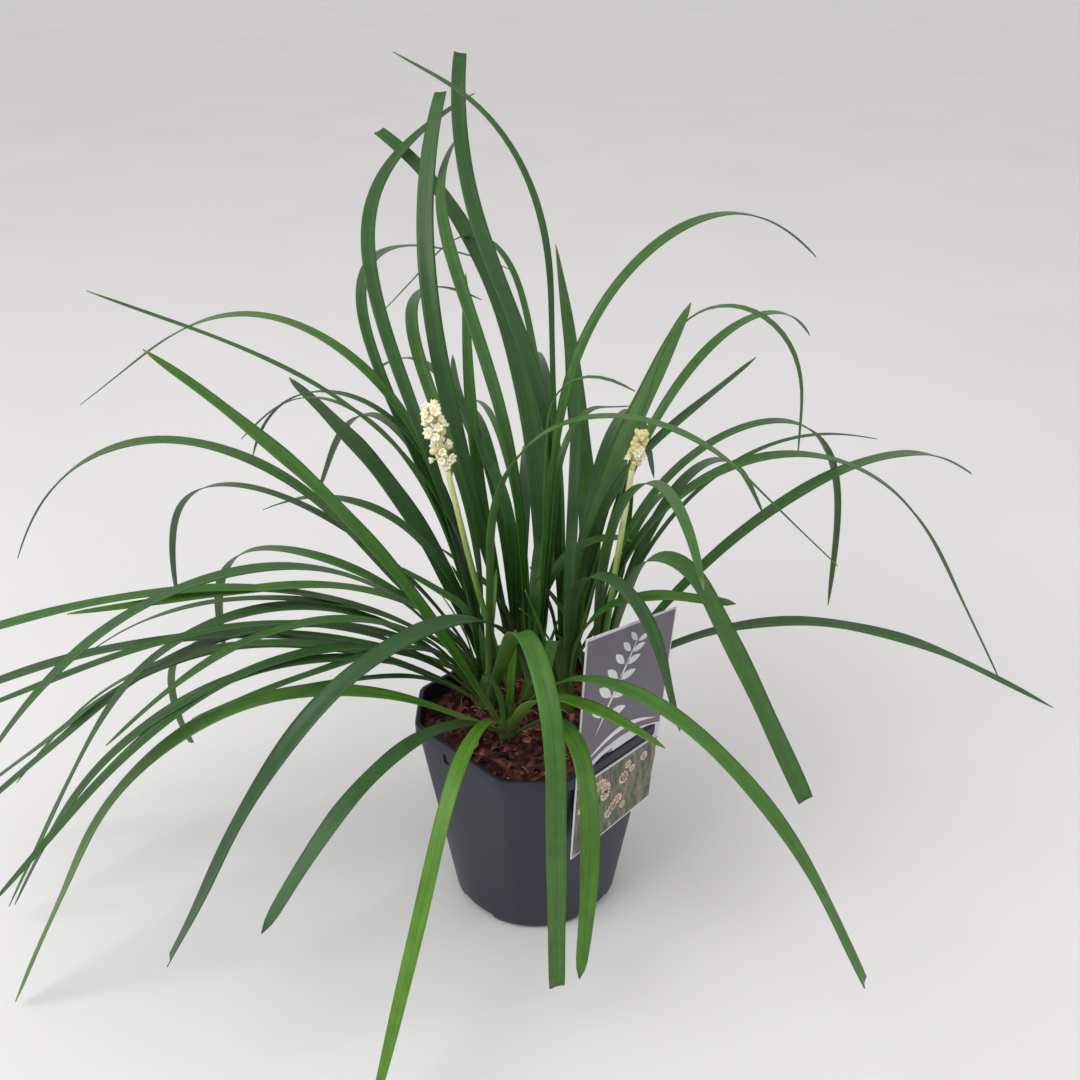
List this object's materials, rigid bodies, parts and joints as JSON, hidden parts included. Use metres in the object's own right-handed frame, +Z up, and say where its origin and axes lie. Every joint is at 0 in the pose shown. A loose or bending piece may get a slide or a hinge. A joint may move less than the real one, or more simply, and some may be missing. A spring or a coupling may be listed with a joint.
{
  "type": "potted lilyturf",
  "caption": "Grass-like clump of long arching leaves with slender cream flower spikes, in a chamfered square nursery pot with a card label over the rim.",
  "frame": {"origin": "centre of the flat pad in the middle of the pot's underside, on the surface the pot stands on", "axes": "+Z up; -Y towards the picture's camera; the pot's chamfers face +X, -X, +Y and -Y and its flats lie between them"},
  "size_m": [0.9201, 0.6088, 0.5787],
  "materials": {
    "pot_plastic": "satin charcoal moulded plastic",
    "bark_soil": "damp red-brown bark chips",
    "leaf": "satin green leaf",
    "flower_stalk": "satin pale green stem",
    "flower_buds": "waxy cream buds",
    "label_card": "laminated printed card"
  },
  "bodies": {
    "root": {"pot": "pot_plastic", "soil": "bark_soil", "shoot_front": "leaf", "shoot_left": "leaf", "shoot_left_back": "leaf", "shoot_back_left": "leaf", "shoot_centre": "leaf", "shoot_back": "leaf", "shoot_right": "leaf", "shoot_right_front": "leaf", "stalk_left": "flower_stalk", "head_left": "flower_buds", "stalk_right": "flower_stalk", "head_right": "flower_buds", "label": "label_card"}
  },
  "joints": []
}
